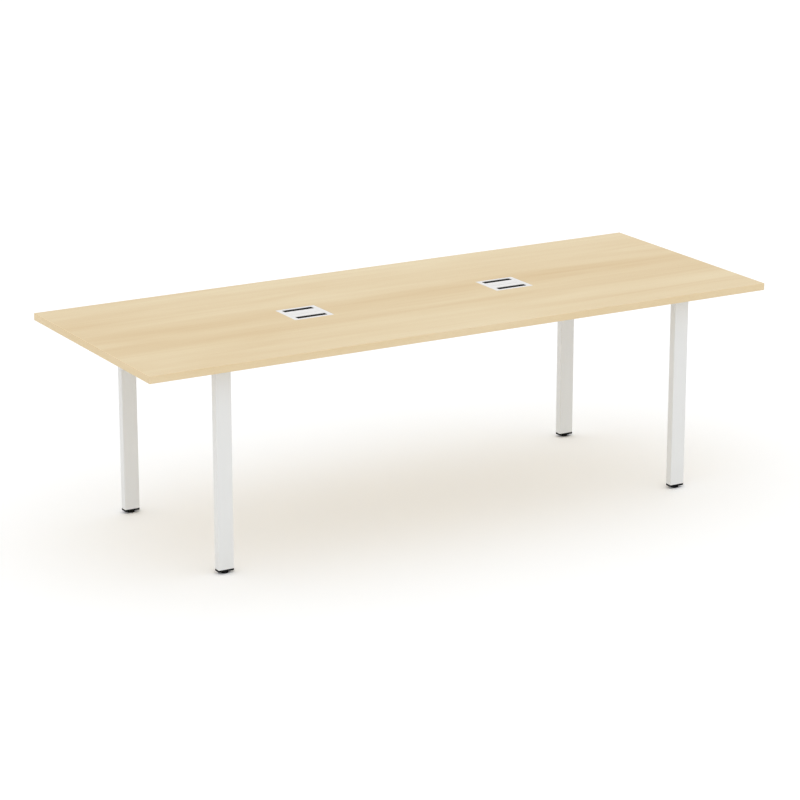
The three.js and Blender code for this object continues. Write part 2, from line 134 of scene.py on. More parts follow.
# How far the grain bends, in millimetres
MAPLE_BEND_REACH = 70
# Noise level where a pore begins and where it is full, and how dark it is then
MAPLE_PORE_BEGIN, MAPLE_PORE_FULL, MAPLE_PORE_DEPTH = 0.62, 0.74, 0.26
# Melamine resin over the print: its index of refraction, a lowered shine, and fibres raised by so many
# millimetres
MAPLE_IOR, MAPLE_SHEEN_LEVEL = 1.6, 0.225
MAPLE_ROUGHNESS, MAPLE_ROUGHNESS_SWING = 0.42, 0.12
MAPLE_RELIEF, MAPLE_RELIEF_STRENGTH = 0.05, 0.25


def maple_print(name, light, dark, turn):
    """Maple as a printed paper pressed on board or edge band. The eye gets long soft bands, faint flame lines
    and small pore flecks along the grain, all close in colour, on a satin face with a slight fibre.

    Tone = half + the shares of the noises, each less its mean of a half, + the share of the sine of the hill.
    It mixes the dark and the light colour, and pores bring that near the dark colour squared. The grain runs
    along X, turned about Z.
    """
    finish, tree = begin_finish(name)
    deep = (*(channel ** 2 for channel in dark[:3]), 1.0)
    place = add_node(tree, "ShaderNodeTexCoord").outputs["Object"]
    turned = add_node(tree, "ShaderNodeMapping", {"Vector": place, "Rotation": (0, 0, turn)})
    straight = turned.outputs["Vector"]
    grain, noise = straight, {}
    for figure, (length, width, detail, start) in MAPLE_NOISES.items():
        scale = (1 / (length * MM), 1 / (width * MM), 1 / (width * MM))
        spread = add_node(
            tree, "ShaderNodeMapping", {"Vector": grain, "Scale": scale, "Location": (start, start, 0)})
        noise[figure] = add_node(
            tree, "ShaderNodeTexNoise",
            {"Vector": spread.outputs["Vector"], "Scale": 1.0, "Detail": detail}).outputs
        if figure == "bend":
            grain = add_node(
                tree, "ShaderNodeVectorMath",
                {0: noise["bend"]["Color"], 1: (0, MAPLE_BEND_REACH * MM, 0), 2: straight},
                operation="MULTIPLY_ADD").outputs["Vector"]
    tone = 0.5 - 0.5 * sum(MAPLE_SHARES.values())
    for figure, share in MAPLE_SHARES.items():
        tone = add_node(
            tree, "ShaderNodeMath", {0: noise[figure]["Fac"], 1: share, 2: tone},
            operation="MULTIPLY_ADD").outputs["Value"]
    phase = add_node(
        tree, "ShaderNodeMath", {0: noise["hill"]["Fac"], 1: MAPLE_FLAMES * FULL_TURN}, operation="MULTIPLY")
    flame = add_node(tree, "ShaderNodeMath", {0: phase.outputs["Value"]}, operation="SINE")
    tone = add_node(
        tree, "ShaderNodeMath", {0: flame.outputs["Value"], 1: MAPLE_FLAME_SHARE, 2: tone},
        operation="MULTIPLY_ADD", use_clamp=True).outputs["Value"]
    plain = add_node(
        tree, "ShaderNodeMix", {MIX_FACTOR: tone, MIX_FIRST: dark, MIX_SECOND: light}, data_type="RGBA")
    pore = add_node(
        tree, "ShaderNodeMapRange",
        {"Value": noise["pore"]["Fac"], "From Min": MAPLE_PORE_BEGIN, "From Max": MAPLE_PORE_FULL,
         "To Min": 0.0, "To Max": MAPLE_PORE_DEPTH})
    colour = add_node(
        tree, "ShaderNodeMix",
        {MIX_FACTOR: pore.outputs["Result"], MIX_FIRST: plain.outputs[MIX_RESULT], MIX_SECOND: deep},
        data_type="RGBA")
    rough = add_node(
        tree, "ShaderNodeMath",
        {0: noise["fibre"]["Fac"], 1: MAPLE_ROUGHNESS_SWING, 2: MAPLE_ROUGHNESS - MAPLE_ROUGHNESS_SWING / 2},
        operation="MULTIPLY_ADD")
    bump = add_node(
        tree, "ShaderNodeBump",
        {"Height": noise["fibre"]["Fac"], "Strength": MAPLE_RELIEF_STRENGTH, "Distance": MAPLE_RELIEF * MM})
    shader = add_node(
        tree, "ShaderNodeBsdfPrincipled",
        {"Base Color": colour.outputs[MIX_RESULT], "Roughness": rough.outputs["Value"],
         "Normal": bump.outputs["Normal"], "IOR": MAPLE_IOR, "Specular IOR Level": MAPLE_SHEEN_LEVEL})
    add_node(tree, "ShaderNodeOutputMaterial", {"Surface": shader.outputs["BSDF"]})
    return finish


# Detail of the two noises of a fine-grained finish, and strength of its bump
TONE_DETAIL, GRAIN_DETAIL, GRAIN_STRENGTH = 3.0, 2.0, 0.5


def fine_grained(name, colour, shade, tone_size, grain_size, grain_height, roughness, swing, sockets):
    """A finish of one colour with a fine grain, for paint, moulded plastic and plate.

    Tone = noise of tone_size between the colour times shade and the colour; a second noise of grain_size
    raises the surface by grain_height and moves the roughness by swing about its mean. Sizes are in
    millimetres, and sockets holds the shader's values that are the same all over.
    """
    finish, tree = begin_finish(name)
    place = add_node(tree, "ShaderNodeTexCoord").outputs["Object"]
    darker = (*(channel * shade for channel in colour[:3]), 1.0)
    tone = add_node(
        tree, "ShaderNodeTexNoise", {"Vector": place, "Scale": 1 / (tone_size * MM), "Detail": TONE_DETAIL})
    mixed = add_node(
        tree, "ShaderNodeMix", {MIX_FACTOR: tone.outputs["Fac"], MIX_FIRST: darker, MIX_SECOND: colour},
        data_type="RGBA")
    grain = add_node(
        tree, "ShaderNodeTexNoise", {"Vector": place, "Scale": 1 / (grain_size * MM), "Detail": GRAIN_DETAIL})
    rough = add_node(
        tree, "ShaderNodeMath", {0: grain.outputs["Fac"], 1: 2 * swing, 2: roughness - swing},
        operation="MULTIPLY_ADD")
    bump = add_node(
        tree, "ShaderNodeBump",
        {"Height": grain.outputs["Fac"], "Strength": GRAIN_STRENGTH, "Distance": grain_height * MM})
    shader = add_node(
        tree, "ShaderNodeBsdfPrincipled",
        {"Base Color": mixed.outputs[MIX_RESULT], "Roughness": rough.outputs["Value"],
         "Normal": bump.outputs["Normal"], **sockets})
    add_node(tree, "ShaderNodeOutputMaterial", {"Surface": shader.outputs["BSDF"]})
    return finish


def white_paint(look):
    """White powder coat, sprayed dry and baked on steel: an even satin white with a slight orange peel."""
    return fine_grained(
        "white powder coat on steel", look.paint, shade=0.96, tone_size=180, grain_size=2.2,
        grain_height=0.06, roughness=0.42, swing=0.06, sockets={"IOR": 1.52})


def bright_zinc(look):
    """Steel with bright zinc plate: a cool grey metal, a little cloudy."""
    return fine_grained(
        "bright zinc plate on steel", look.zinc, shade=0.82, tone_size=9, grain_size=1.1,
        grain_height=0.02, roughness=0.3, swing=0.08, sockets={"Metallic": 1.0})


def black_moulding(look):
    """Polypropylene from a spark-eroded mould: a soft black with a fine even texture. The real texture is
    about 0.1 mm across; it is drawn coarser so that it shows, and so is that of the white moulding."""
    return fine_grained(
        "moulded black polypropylene", look.plastic, shade=0.7, tone_size=14, grain_size=0.7,
        grain_height=0.04, roughness=0.5, swing=0.08, sockets={"IOR": 1.49, "Specular IOR Level": 0.1})


def white_moulding(look):
    """ABS from a finely textured mould: a plain satin white."""
    return fine_grained(
        "moulded white ABS", look.plate, shade=0.97, tone_size=60, grain_size=0.8,
        grain_height=0.02, roughness=0.38, swing=0.06, sockets={"IOR": 1.53})


def drawn_nylon(look):
    """Drawn nylon bristle: near black, with a dull shine that changes from strand to strand."""
    return fine_grained(
        "drawn black nylon bristle", look.bristle, shade=0.5, tone_size=2.5, grain_size=0.9,
        grain_height=0.02, roughness=0.6, swing=0.12, sockets={"IOR": 1.53, "Specular IOR Level": 0.1})


# Surfaces


def extent(node):
    """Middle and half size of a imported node, in millimetres."""
    low, high = (np.array(corner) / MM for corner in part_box(node))
    return (low + high) / 2, (high - low) / 2


def facing(direction):
    """Two directions across a face that looks along an axis, in right-handed order."""
    first, second = np.roll(np.abs(direction), 1), np.roll(np.abs(direction), 2)
    return (first, second) if direction.sum() > 0 else (second, first)


def placed(points, origin, across=X, up=Y):
    """Points (a, b, c) carried to origin + a * across + b * up + c * (across x up)."""
    return origin + points @ np.stack([across, up, np.cross(across, up)])


def arc(centre_a, centre_b, radius, start, end):
    """Part of a circle: centre + radius * (cosine, sine) of an angle that runs from start to end."""
    angle = np.linspace(start, end, ARC_STEPS + 1)
    return np.column_stack([centre_a + radius * np.cos(angle), centre_b + radius * np.sin(angle)])


def rounded_outline(half_a, half_b, radius, middle=(0, 0)):
    """Rectangle with quarter-circle corners, counter-clockwise: at each corner in turn, its centre + radius *
    (cosine, sine) of an angle that runs through a quarter turn."""
    angle = np.linspace(0, QUARTER, CORNER_STEPS + 1) + np.arange(4)[:, None] * QUARTER
    side_a = np.array([1, -1, -1, 1])[:, None]
    side_b = np.array([1, 1, -1, -1])[:, None]
    a = side_a * (half_a - radius) + radius * np.cos(angle)
    b = side_b * (half_b - radius) + radius * np.sin(angle)
    return np.stack([a, b], axis=-1).reshape(-1, 2) + middle


def angle_outline(leaf_a, leaf_b, thickness, bend):
    """Section of sheet folded to a right angle, with its outer faces on a = 0 and b = 0: two straight leaves,
    joined by a quarter circle of the bend's radius inside and of that plus the thickness outside."""
    outer = bend + thickness
    return np.vstack([
        [(leaf_a, 0), (leaf_a, thickness)],
        arc(outer, outer, bend, -QUARTER, -2 * QUARTER),
        [(thickness, leaf_b), (0, leaf_b)],
        arc(outer, outer, outer, 2 * QUARTER, 3 * QUARTER),
    ])


def rings(*levels):
    """Rings of points, one for each level: its outline at its height."""
    return np.stack([np.column_stack([outline, np.full(len(outline), height)]) for outline, height in levels])


def tube_surface(half_a, half_b, corner, wall, length):
    """Rectangular tube along c: the outer outline up, then the inner outline down."""
    outer = rounded_outline(half_a, half_b, corner)
    inner = rounded_outline(half_a - wall, half_b - wall, corner - wall)
    return rings((outer, -length / 2), (outer, length / 2), (inner, length / 2), (inner, -length / 2))


def spun(profile, turn):
    """Profile of (radius, height) turned about the axis: (radius * cosine, radius * sine, height). A radius
    may be a number or a row with a value for each angle of the turn."""
    radius = np.stack([np.broadcast_to(row_radius, turn.shape) for row_radius, _ in profile])
    height = np.array([row_height for _, row_height in profile], float)[:, None] + np.zeros_like(turn)
    return np.stack([radius * np.cos(turn), radius * np.sin(turn), height], axis=-1)


def full_turn(sides):
    """Angles of that many points round a circle."""
    return np.arange(sides) * FULL_TURN / sides


def add_piece(name, surfaces, finish, body, replaced=None, ease=0.0):
    """Makes one piece from surfaces, each given as rings of points and whether the rings close on themselves.

    Ring i is joined to ring i + 1 by quads. A closed surface joins its last ring to its first, and an open
    one has its first and last rings filled. Leading axes hold copies of one surface. Sharp edges are eased by
    a bevel of the given width, and flat faces keep their own normals.
    """
    points, faces, used = [], [], 0
    for grid, closed in surfaces:
        count, around = grid.shape[-3:-1]
        copies = grid.reshape(-1, count * around, 3)
        index = np.arange(count * around).reshape(count, around)
        rows = np.vstack([index, index[:1]]) if closed else index
        ahead = np.roll(rows, -1, axis=1)
        quads = np.stack([rows[:-1], ahead[:-1], ahead[1:], rows[1:]], axis=-1).reshape(-1, 4)
        starts = used + np.arange(len(copies)) * count * around
        for group in [quads] if closed else [quads, index[:1, ::-1], index[-1:]]:
            faces += (starts[:, None, None] + group).reshape(-1, group.shape[1]).tolist()
        points.append(copies.reshape(-1, 3))
        used += len(copies) * count * around
    mesh = bpy.data.meshes.new(name)
    mesh.from_pydata((np.concatenate(points) * MM).tolist(), [], faces)
    mesh.shade_smooth()
    mesh.set_sharp_from_angle(angle=SHARP_ANGLE)
    mesh.materials.append(finish)
    piece = bpy.data.objects.new(name, mesh)
    bpy.context.scene.collection.objects.link(piece)
    if ease:
        bevel = piece.modifiers.new("eased edges", "BEVEL")
        bevel.width = ease * MM
        bevel.segments = EASE_SEGMENTS
        bevel.limit_method = "ANGLE"
        bevel.angle_limit = SHARP_ANGLE
    weighted = piece.modifiers.new("flat faces stay flat", "WEIGHTED_NORMAL")
    weighted.keep_sharp = True
    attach(piece, body)
    if replaced:
        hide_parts(replaced)


def dress(node, finish):
    """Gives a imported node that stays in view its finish."""
    for material_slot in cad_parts[node].material_slots:
        material_slot.material = finish


# Sizes and colours that a user may change


class BoardSettings(bpy.types.PropertyGroup):
    """Board and edge bands."""

    light_grain: FloatVectorProperty(
        name="Light grain", description="Pale bands of the maple print", subtype="COLOR", size=4,
        min=0, max=1, default=linear("#E9D7B0"))
    dark_grain: FloatVectorProperty(
        name="Dark grain", description="Darker bands of the maple print", subtype="COLOR", size=4,
        min=0, max=1, default=linear("#D9BC8A"))
    light_band: FloatVectorProperty(
        name="Light edge", description="Pale streaks of the edge bands", subtype="COLOR", size=4,
        min=0, max=1, default=linear("#EFDAB4"))
    dark_band: FloatVectorProperty(
        name="Dark edge", description="Darker streaks of the edge bands", subtype="COLOR", size=4,
        min=0, max=1, default=linear("#E3C794"))
    arris: FloatProperty(
        name="Arris", description="Radius of the edge bands' outer edges", unit="LENGTH", default=1.0 * MM)


class FrameSettings(bpy.types.PropertyGroup):
    """Legs, rails, beams and what joins them."""

    paint: FloatVectorProperty(
        name="Paint", description="Powder coat of the steel", subtype="COLOR", size=4,
        min=0, max=1, default=linear("#F1F1EF"))
    zinc: FloatVectorProperty(
        name="Zinc", description="Plate of studs, bolts, screws and clips", subtype="COLOR", size=4,
        min=0, max=1, default=linear("#C6C9CC"))
    leg_corner: FloatProperty(
        name="Leg corner", description="Outer radius of the leg tube", unit="LENGTH", default=2.0 * MM)
    rail_corner: FloatProperty(
        name="Rail corner", description="Outer radius of rails and beams", unit="LENGTH", default=2.5 * MM)
    wall: FloatProperty(
        name="Tube wall", description="Wall thickness of the tubes", unit="LENGTH", default=1.5 * MM)
    weld: FloatProperty(
        name="Weld size", description="Leg length of the weld beads", unit="LENGTH", default=3.0 * MM)


class FootSettings(bpy.types.PropertyGroup):
    """Leg caps and levelling feet."""

    plastic: FloatVectorProperty(
        name="Plastic", description="Caps and foot pads", subtype="COLOR", size=4,
        min=0, max=1, default=linear("#121213"))
    grips: IntProperty(name="Grips", description="Finger grooves round a foot pad", default=16, min=3)
    grip_depth: FloatProperty(
        name="Grip depth", description="Depth of the finger grooves", unit="LENGTH", default=0.7 * MM)
    pitch: FloatProperty(
        name="Thread pitch", description="Rise of the foot's thread in one turn", unit="LENGTH",
        default=1.25 * MM)
    thread_depth: FloatProperty(
        name="Thread depth", description="Depth of the foot's thread", unit="LENGTH", default=0.65 * MM)


class PortSettings(bpy.types.PropertyGroup):
    """Cable ports in the board."""

    plate: FloatVectorProperty(
        name="Plate", description="Plate and flaps of the ports", subtype="COLOR", size=4,
        min=0, max=1, default=linear("#ECEBEA"))
    bristle: FloatVectorProperty(
        name="Bristle", description="Bristles and their backing", subtype="COLOR", size=4,
        min=0, max=1, default=linear("#16120F"))
    arris: FloatProperty(
        name="Arris", description="Radius of the plate's outer upper edge", unit="LENGTH", default=0.6 * MM)
    strands: IntProperty(name="Strands", description="Bristles in one layer of a brush", default=170, min=10)
    strand_radius: FloatProperty(
        name="Strand radius", description="Radius of one bristle", unit="LENGTH", default=0.25 * MM)


class StageSettings(bpy.types.PropertyGroup):
    """Floor, light and camera."""

    floor: FloatVectorProperty(
        name="Floor", description="Pale floor as it lights the table", subtype="COLOR", size=4,
        min=0, max=1, default=linear("#F0F2F4"))
    floor_seen: FloatVectorProperty(
        name="Floor as seen", description="Pale floor as the camera sees it", subtype="COLOR", size=4,
        min=0, max=1, default=linear("#FDFEFF"))
    backdrop: FloatProperty(
        name="Backdrop", description="Brightness of the floor as the camera sees it", default=1.097, min=0)
    horizon_light: FloatProperty(
        name="Horizon light", description="Strength of the white room at its walls", default=0.85, min=0)
    overhead_light: FloatProperty(
        name="Overhead light", description="Strength of the white room overhead", default=1.075, min=0)
    lens: FloatProperty(
        name="Lens", description="Focal length in millimetres on a 36 mm frame", default=133.27, min=10)
    camera_place: FloatVectorProperty(
        name="Camera", description="Where the camera stands", subtype="TRANSLATION", unit="LENGTH",
        default=(-5.00991, -8.59935, 3.29583))
    camera_turn: FloatProperty(
        name="Turn", description="How far the camera looks to the right of straight across", subtype="ANGLE",
        default=math.radians(30.0997))
    camera_tilt: FloatProperty(
        name="Tilt", description="How far the camera looks down", subtype="ANGLE",
        default=math.radians(16.4060))


# Board


def band_outline(thickness, half_height, arris):
    """Edge band's section, counter-clockwise: a flat inner face on a = 0, and an outer face that a quarter
    circle joins to the upper and the lower edge."""
    inner = thickness - arris
    return np.vstack([
        [(0, -half_height)],
        arc(inner, arris - half_height, arris, -QUARTER, 0),
        arc(inner, half_height - arris, arris, 0, QUARTER),
        [(0, half_height)],
    ])


class TableBoard(bpy.types.Operator):
    """Dress the board in maple laminate and put edge bands round it"""

    bl_idname = "conference_table.board"
    bl_label = "Board and edge bands"

    def execute(self, context):
        look = context.scene.table_board
        grain, band_grain = (look.light_grain, look.dark_grain), (look.light_band, look.dark_band)
        dress("table_top", maple_print("maple laminate, printed and pressed", *grain, 0))
        lengthwise = maple_print("maple edge band, printed, lengthwise", *band_grain, 0)
        crosswise = maple_print("maple edge band, printed, crosswise", *band_grain, QUARTER)
        for side, outward in OUTWARD.items():
            middle, half = extent(f"edge_band_{side}")
            thickness = 2 * half @ np.abs(outward)
            reach = half @ np.abs(np.cross(outward, Z))
            outline = band_outline(thickness, half @ Z, look.arris / MM)
            band = rings((outline, -reach), (outline, reach))
            finish = lengthwise if side in ("front", "rear") else crosswise
            add_piece(
                f"banding_{side}", [(placed(band, middle - outward * thickness / 2, outward, Z), False)],
                finish, "table", f"edge_band_{side}")
        return {"FINISHED"}


# Legs and feet, in millimetres

CAP_EDGE = 0.8
CAP_FLANGE = 7.0
CAP_PLUG_INSET = 1.8
CAP_BORE = 4.2
PAD_SIDES_PER_GRIP = 6
PAD_CORNER = 1.0
PAD_RIM_TOP = 4.4
PAD_RIM_SLOPE = 0.25
PAD_CROWN = 9.5
PAD_CROWN_EDGE = 0.8
PAD_SOCKET = 4.2
PAD_SOCKET_FLOOR = 3.0
STUD_SIDES = 20
STUD_ROWS_PER_TURN = 6
STUD_POINT = 1.2
STUD_STEEPNESS = 1.4


def cap_surface(half, corner):
    """Leg cap with its stud's bore: a flange whose lower edge is a quarter circle, a plug set in from it, and
    the bore, whose points lie on the same rays from the axis as the outline's."""
    outline = rounded_outline(half[0], half[1], corner)
    bore = CAP_BORE * outline / np.linalg.norm(outline, axis=1, keepdims=True)
    edge = [
        (rounded_outline(half[0] - inset, half[1] - inset, corner - inset), height)
        for inset, height in arc(CAP_EDGE, CAP_EDGE, CAP_EDGE, -QUARTER, -2 * QUARTER)
    ]
    plug = rounded_outline(half[0] - CAP_PLUG_INSET, half[1] - CAP_PLUG_INSET, corner - CAP_EDGE)
    top = 2 * half[2]
    return rings(*edge, (outline, CAP_FLANGE), (plug, CAP_FLANGE), (plug, top), (bore, top), (bore, 0))


def pad_surface(radius, height, grips, depth):
    """Foot pad as a turned shape: flat sole, rounded rim, sloping crown and a socket for the stud. The rim's
    radius drops by the depth times the square of the positive part of a cosine, once for each grip."""
    turn = full_turn(grips * PAD_SIDES_PER_GRIP)
    groove = depth * np.maximum(np.cos(grips * turn), 0) ** 2
    rim = radius - groove
    sole = arc(radius - PAD_CORNER, PAD_CORNER, PAD_CORNER, -QUARTER, 0)
    crown = arc(PAD_CROWN - PAD_CROWN_EDGE, height - PAD_CROWN_EDGE, PAD_CROWN_EDGE, 0, QUARTER)
    profile = [
        *[(reach - groove, level) for reach, level in sole],
        (rim, PAD_RIM_TOP - PAD_CORNER), (rim - PAD_RIM_SLOPE, PAD_RIM_TOP),
        *[(reach, level) for reach, level in crown],
        (PAD_SOCKET, height), (PAD_SOCKET, PAD_SOCKET_FLOOR),
    ]
    return spun(profile, turn)


def stud_surface(radius, length, pitch, depth):
    """Threaded stud: radius - depth * (1 - ridge), where ridge is a flattened saw wave of height / pitch less
    the angle / a full turn, so its crest climbs one pitch a turn. Both ends come to a blunt point."""
    turn = full_turn(STUD_SIDES)
    height = np.arange(0, length, pitch / STUD_ROWS_PER_TURN)
    phase = (height[:, None] / pitch - turn / FULL_TURN) % 1
    ridge = np.clip(STUD_STEEPNESS * (1 - np.abs(2 * phase - 1)), 0, 1)
    point = np.clip((STUD_POINT - np.minimum(height, height[-1] - height)) / STUD_POINT, 0, 1)[:, None]
    reach = radius - depth * np.maximum(1 - ridge, point)
    return spun(list(zip(reach, height)), turn)


class TableLegs(bpy.types.Operator):
    """Stand the four leg tubes, with their plates, end caps, threaded studs and foot pads"""

    bl_idname = "conference_table.legs"
    bl_label = "Legs and feet"

    def execute(self, context):
        look, foot = context.scene.table_frame, context.scene.table_feet
        paint, zinc, plastic = white_paint(look), bright_zinc(look), black_moulding(foot)
        corner = look.leg_corner / MM
        for place in CORNERS:
            dress(f"leg_plate_{place}", paint)
            middle, half = extent(f"leg_{place}")
            tube = tube_surface(half[0], half[1], corner, look.wall / MM, 2 * half[2])
            add_piece(
                f"leg_tube_{place}", [(placed(tube, middle), True)], paint, "table",
                f"leg_{place}")
            middle, half = extent(f"leg_cap_{place}")
            cap = cap_surface(half, corner)
            add_piece(
                f"leg_end_cap_{place}", [(placed(cap, middle - half * Z), True)], plastic, "table",
                f"leg_cap_{place}")
            middle, half = extent(f"foot_pad_{place}")
            pad = pad_surface(half[0], 2 * half[2], foot.grips, foot.grip_depth / MM)
            add_piece(
                f"glide_{place}", [(placed(pad, middle - half * Z), False)], plastic, f"foot_pad_{place}",
                f"foot_pad_{place}")
            middle, half = extent(f"foot_stud_{place}")
            stud = stud_surface(half[0], 2 * half[2], foot.pitch / MM, foot.thread_depth / MM)
            add_piece(
                f"threaded_stud_{place}", [(placed(stud, middle - half * Z), False)], zinc,
                f"foot_stud_{place}", f"foot_stud_{place}")
        return {"FINISHED"}


# Frame under the board, in millimetres

BRACKET_THICKNESS = 3.0
BRACKET_BEND = 1.5
BRACKET_EASE = 0.5
BOLT_SIDES = 36
BOLT_SHANK = 3.0
BOLT_LENGTH = 12.0
BOLT_HEAD = 5.25
BOLT_HEAD_HEIGHT = 3.3
BOLT_HEAD_EDGE = 0.9
BOLT_SOCKET_FLATS = 6
BOLT_SOCKET = 4.0
BOLT_SOCKET_DEPTH = 1.9
SCREW_SIDES = 48
SCREW_SHANK = 2.0
SCREW_LENGTH = 16.0
SCREW_HEAD = 4.4
SCREW_HEAD_HEIGHT = 2.6
SCREW_ARM = 2.3
SCREW_ARM_WIDTH = 0.55
SCREW_RECESS = 1.5
SCREW_RECESS_TAPER = 0.6
SCREW_CHAMFER = 0.4
SMALLEST_SINE = 0.001
PLATE_SCREWS_FROM_LEG = (20.0, 60.0)
WELD_STEP = 0.55
WELD_RIPPLE = 2.2
WELD_SWELL = 0.09
WELD_END = 2.5
WELD_END_SHARE = 0.05
WELD_FACE = 1.3


def head_profile(radius, height, edge, crown):
    """Rounded screw head, from its rim over a quarter ellipse to a flat crown."""
    angle = np.linspace(0, QUARTER, ARC_STEPS + 1)
    dome = zip(crown + (radius - crown) * np.cos(angle), edge + (height - edge) * np.sin(angle))
    return [(radius, 0.0), *dome]


def bolt_surface():
    """Button-head bolt, head up, with the head's seat at height 0. The socket's radius is half its width
    across flats / the cosine of the angle from the middle of the nearest flat."""
    turn = full_turn(BOLT_SIDES)
    flat = FULL_TURN / BOLT_SOCKET_FLATS
    socket = BOLT_SOCKET / 2 / np.cos(turn % flat - flat / 2)
    rim = socket.max() + SCREW_CHAMFER / 2
    profile = [
        (BOLT_SHANK - SCREW_CHAMFER, -BOLT_LENGTH), (BOLT_SHANK, SCREW_CHAMFER - BOLT_LENGTH),
        (BOLT_SHANK, 0.0),
        *head_profile(BOLT_HEAD, BOLT_HEAD_HEIGHT, BOLT_HEAD_EDGE, rim + SCREW_CHAMFER),
        (rim, BOLT_HEAD_HEIGHT), (socket, BOLT_HEAD_HEIGHT - SCREW_CHAMFER),
        (socket, BOLT_HEAD_HEIGHT - BOLT_SOCKET_DEPTH),
    ]
    return spun(profile, turn)


def screw_surface(size, length):
    """Pan-head screw with a cross recess, head up, with its seat at height 0. The recess reaches the arm's
    length / the cosine of the angle from the nearest arm, but no further than its half width / the sine."""
    turn = full_turn(SCREW_SIDES)
    from_arm = np.abs((turn + QUARTER / 2) % QUARTER - QUARTER / 2)
    side = SCREW_ARM_WIDTH / np.maximum(np.sin(from_arm), SMALLEST_SINE)
    reach = np.minimum(SCREW_ARM / np.cos(from_arm), side)
    shank = length / size
    profile = [
        (SCREW_CHAMFER, -shank), (SCREW_SHANK, 2 * SCREW_SHANK - shank), (SCREW_SHANK, 0.0),
        *head_profile(SCREW_HEAD, SCREW_HEAD_HEIGHT, SCREW_CHAMFER, SCREW_ARM + SCREW_CHAMFER),
        (reach, SCREW_HEAD_HEIGHT), (reach * SCREW_RECESS_TAPER, SCREW_HEAD_HEIGHT - SCREW_RECESS),
    ]
    return spun(profile, turn) * size


def weld_bead(middle, side_a, side_b, length, size):
    """Fillet weld in a corner, along the line where two faces meet. Its section is (size * cosine ^ power,
    size * sine ^ power) over a quarter turn, and its size swells with every ripple and falls at both ends."""
    run = np.linspace(-length / 2, length / 2, round(length / WELD_STEP) + 1)
    fall = np.sqrt(np.clip((length / 2 - np.abs(run)) / WELD_END, WELD_END_SHARE, 1))
    swell = size * fall * (1 + WELD_SWELL * np.cos(FULL_TURN * run / WELD_RIPPLE))
    angle = np.linspace(0, QUARTER, ARC_STEPS + 1)
    face = np.abs(np.column_stack([np.cos(angle), np.sin(angle)])) ** WELD_FACE
    section = np.vstack([(0.0, 0.0), face])
    bead = np.concatenate([
        swell[:, None, None] * section,
        np.broadcast_to(run[:, None, None], (len(run), len(section), 1)),
    ], axis=-1)
    return placed(bead, middle, side_a, side_b)


class TableUnderframe(bpy.types.Operator):
    """Lay the rails and beams under the board, with their brackets, bolts, welds and screws"""

    bl_idname = "conference_table.underframe"
    bl_label = "Rails, beams and fasteners"

    def execute(self, context):
        look = context.scene.table_frame
        paint, zinc = white_paint(look), bright_zinc(look)
        corner, wall = look.rail_corner / MM, look.wall / MM
        for name, node, along in (
            ("end_rail_left", "cross_rail_left", Y), ("end_rail_right", "cross_rail_right", Y),
            ("side_beam_front", "long_beam_front", X), ("side_beam_rear", "long_beam_rear", X),
        ):
            middle, half = extent(node)
            across, up = facing(along)
            tube = tube_surface(half @ across, half @ up, corner, wall, 2 * half @ along)
            add_piece(
                name, [(placed(tube, middle, across, up), True)], paint, "table", node)
        for place, (end, side) in CORNERS.items():
            self.join(place, end, side, paint, zinc)
            self.weld(place, end, side, paint, look.weld / MM)
        return {"FINISHED"}

    def join(self, place, end, side, paint, zinc):
        """Bracket, two bolts and the screws of the leg plate at one corner."""
        middle, half = extent(f"beam_bracket_{place}")
        outline = angle_outline(2 * half[0], 2 * half[1], BRACKET_THICKNESS, BRACKET_BEND)
        bend = middle + half * (end * X + side * Y)
        leaf_a, leaf_b = (-end * X, -side * Y) if end * side > 0 else (-side * Y, -end * X)
        bracket = rings((outline, -half[2]), (outline, half[2]))
        add_piece(
            f"angle_bracket_{place}", [(placed(bracket, bend, leaf_a, leaf_b), False)], paint, "table",
            f"beam_bracket_{place}", BRACKET_EASE)
        for member, inward in (("rail", -end * X), ("beam", -side * Y)):
            middle, half = extent(f"{member}_bolt_{place}")
            seat = middle + inward * (half @ np.abs(inward) - BOLT_HEAD_HEIGHT)
            bolt = placed(bolt_surface(), seat, *facing(inward))
            add_piece(
                f"button_bolt_{member}_{place}", [(bolt, False)], zinc, "table",
                f"{member}_bolt_{place}")
        leg, leg_half = extent(f"leg_{place}")
        screw = screw_surface(1, SCREW_LENGTH)
        edge = leg + leg_half * Z - end * leg_half * X
        screws = [
            (placed(screw, edge - end * distance * X, *facing(-Z)), False)
            for distance in PLATE_SCREWS_FROM_LEG
        ]
        add_piece(f"plate_screws_{place}", screws, zinc, "table")

    def weld(self, place, end, side, paint, size):
        """Weld beads between a leg and its plate, and round the end of the rail that meets it."""
        leg, half = extent(f"leg_{place}")
        rail, rail_half = extent(f"cross_rail_{place.split('_')[1]}")
        plate_corner = leg + half * Z - end * half * X
        beads = [weld_bead(plate_corner, -end * X, -Z, 2 * half[1] - size, size)]
        rail_end = np.array([rail[0], leg[1] - side * half[1], rail[2]])
        rail_low = rail[2] - rail_half[2]
        seam = leg[2] + half[2] - rail_low
        for way in (-1, 1):
            seam_middle = rail_end + way * rail_half * X
            seam_middle[2] = rail_low + seam / 2
            faces = (way * X, -side * Y) if way * side < 0 else (-side * Y, way * X)
            beads.append(weld_bead(seam_middle, *faces, seam, size))
        beads.append(weld_bead(rail_end - rail_half * Z, -Z, -side * Y, 2 * rail_half[0], size))
        add_piece(f"weld_{place}", [(bead, False) for bead in beads], paint, "table")


# Cable ports, in millimetres from the middle of the plate's upper face

